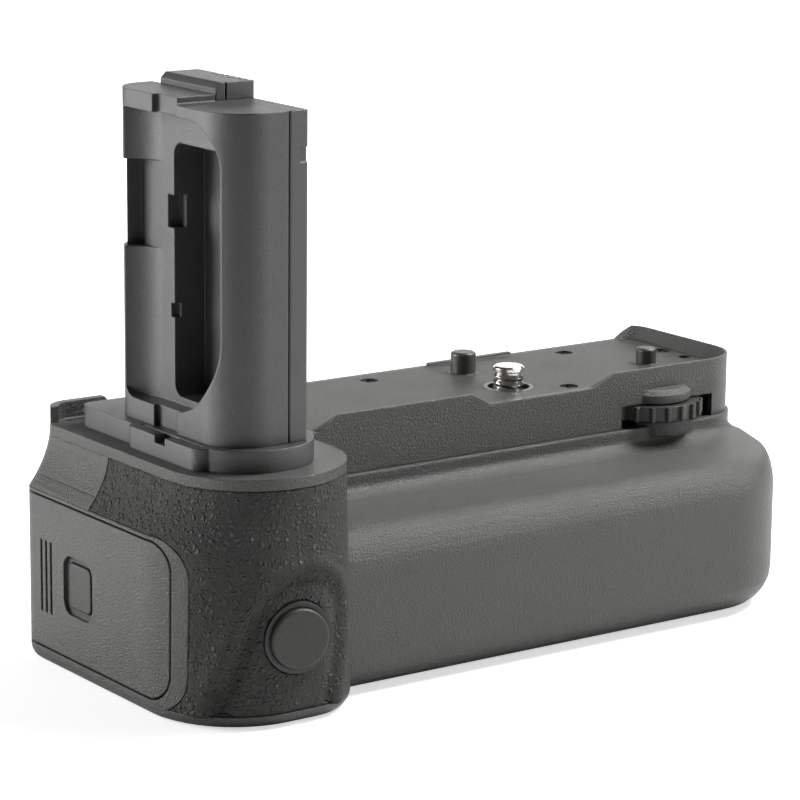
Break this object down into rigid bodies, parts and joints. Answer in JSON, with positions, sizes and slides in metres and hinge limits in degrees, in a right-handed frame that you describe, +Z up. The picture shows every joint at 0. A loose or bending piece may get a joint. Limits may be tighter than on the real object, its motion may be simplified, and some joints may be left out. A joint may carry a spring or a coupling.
{
  "type": "camera battery grip",
  "caption": "Battery grip for a camera: a long body with a battery tray in its end, a tower for the camera chamber, a screw with thumbwheel and a second shutter button.",
  "frame": {"origin": "middle of the bottom of the bounding box", "axes": "X along the body, the tower and the tray end at -X; Y from the shutter button side (front) to the back; Z up, the bottom face down"},
  "size_m": [0.1394, 0.0622, 0.1047],
  "materials": {
    "body_plastic": "fine grained dark grey moulding",
    "deck_plastic": "fine grained dark grey moulding, slightly glossy",
    "skin_rubber": "pebbled dark grey skin",
    "tower_plastic": "smooth dark grey moulding",
    "button_plastic": "smooth dark grey",
    "black_plastic": "near black, slight sheen",
    "tray_plastic": "black moulding",
    "screw_steel": "bright nickel",
    "collar_steel": "dark metal",
    "fastener_steel": "blackened steel",
    "contact_brass": "gold plated",
    "board_green": "solder resist",
    "lead_film": "amber film"
  },
  "bodies": {
    "housing": {"base_shell": "body_plastic", "bottom_plate": "body_plastic", "top_frame": "body_plastic", "grip_collar": "body_plastic", "door_frame": "body_plastic", "top_plate": "deck_plastic", "grip_skin": "skin_rubber", "tower_base": "tower_plastic", "tower_shell": "tower_plastic", "tower_cover": "tower_plastic", "contact_block": "tower_plastic", "shutter_ring": "button_plastic", "long_pin": "black_plastic", "short_pin": "black_plastic", "bay_contacts": "black_plastic", "shutter_switch": "black_plastic", "board_chips": "black_plastic", "wheel_axle": "screw_steel", "idler_axle": "screw_steel", "chassis_plate": "screw_steel", "battery_bay": "screw_steel", "screw_collar": "collar_steel", "tripod_socket": "collar_steel", "chassis_screws": "fastener_steel", "plate_screws": "fastener_steel", "casing_screws": "fastener_steel", "tower_screws": "fastener_steel", "platform_screws": "fastener_steel", "contact_blades": "contact_brass", "shutter_board": "board_green", "main_board": "board_green", "tower_board": "board_green", "ribbon_lead": "lead_film"},
    "tray": {"tray_frame": "tray_plastic", "end_cap": "body_plastic", "tray_contacts": "contact_brass", "cap_screws": "fastener_steel", "latch_spring": "screw_steel"},
    "release_button": {"release_button": "button_plastic"},
    "latch_bolt": {"latch_bolt": "black_plastic"},
    "shutter_button": {"shutter_button": "button_plastic"},
    "wheel": {"thumbwheel": "black_plastic", "wheel_pinion": "screw_steel"},
    "idler": {"idler_gear": "black_plastic"},
    "screw": {"camera_screw": "screw_steel", "screw_gear": "screw_steel"}
  },
  "joints": [
    {"name": "tray_slide", "type": "slide", "parent": "housing", "child": "tray", "axis": [-1, 0, 0], "range_m": [0, 0.115]},
    {"name": "release_press", "type": "slide", "parent": "tray", "child": "release_button", "axis": [1, 0, 0], "range_m": [0, 0.0012], "stiffness_N_per_m": 60},
    {"name": "latch_retract", "type": "slide", "parent": "tray", "child": "latch_bolt", "axis": [0, 0, -1], "range_m": [0, 0.0015], "stiffness_N_per_m": 40, "deforming": ["latch_spring"]},
    {"name": "shutter_press", "type": "slide", "parent": "housing", "child": "shutter_button", "axis": [0.1736, 0.9848, 0], "range_m": [0, 0.0008], "stiffness_N_per_m": 60},
    {"name": "screw_spin", "type": "hinge", "parent": "housing", "child": "screw", "pos_m": [0.0207, 0.00788, 0.0423], "axis": [0, 0, 1], "continuous": true},
    {"name": "idler_spin", "type": "hinge", "parent": "housing", "child": "idler", "pos_m": [0.04004, 0.01039, 0.0423], "axis": [0, 0, 1], "continuous": true},
    {"name": "wheel_spin", "type": "hinge", "parent": "housing", "child": "wheel", "pos_m": [0.0495, 0.00148, 0.0423], "axis": [0, 0, 1], "continuous": true}
  ],
  "couplings": [
    {"joint": "latch_retract", "follows": "release_press", "ratio": 1.25},
    {"joint": "idler_spin", "follows": "screw_spin", "ratio": -0.85714},
    {"joint": "wheel_spin", "follows": "screw_spin", "ratio": 3.6}
  ]
}
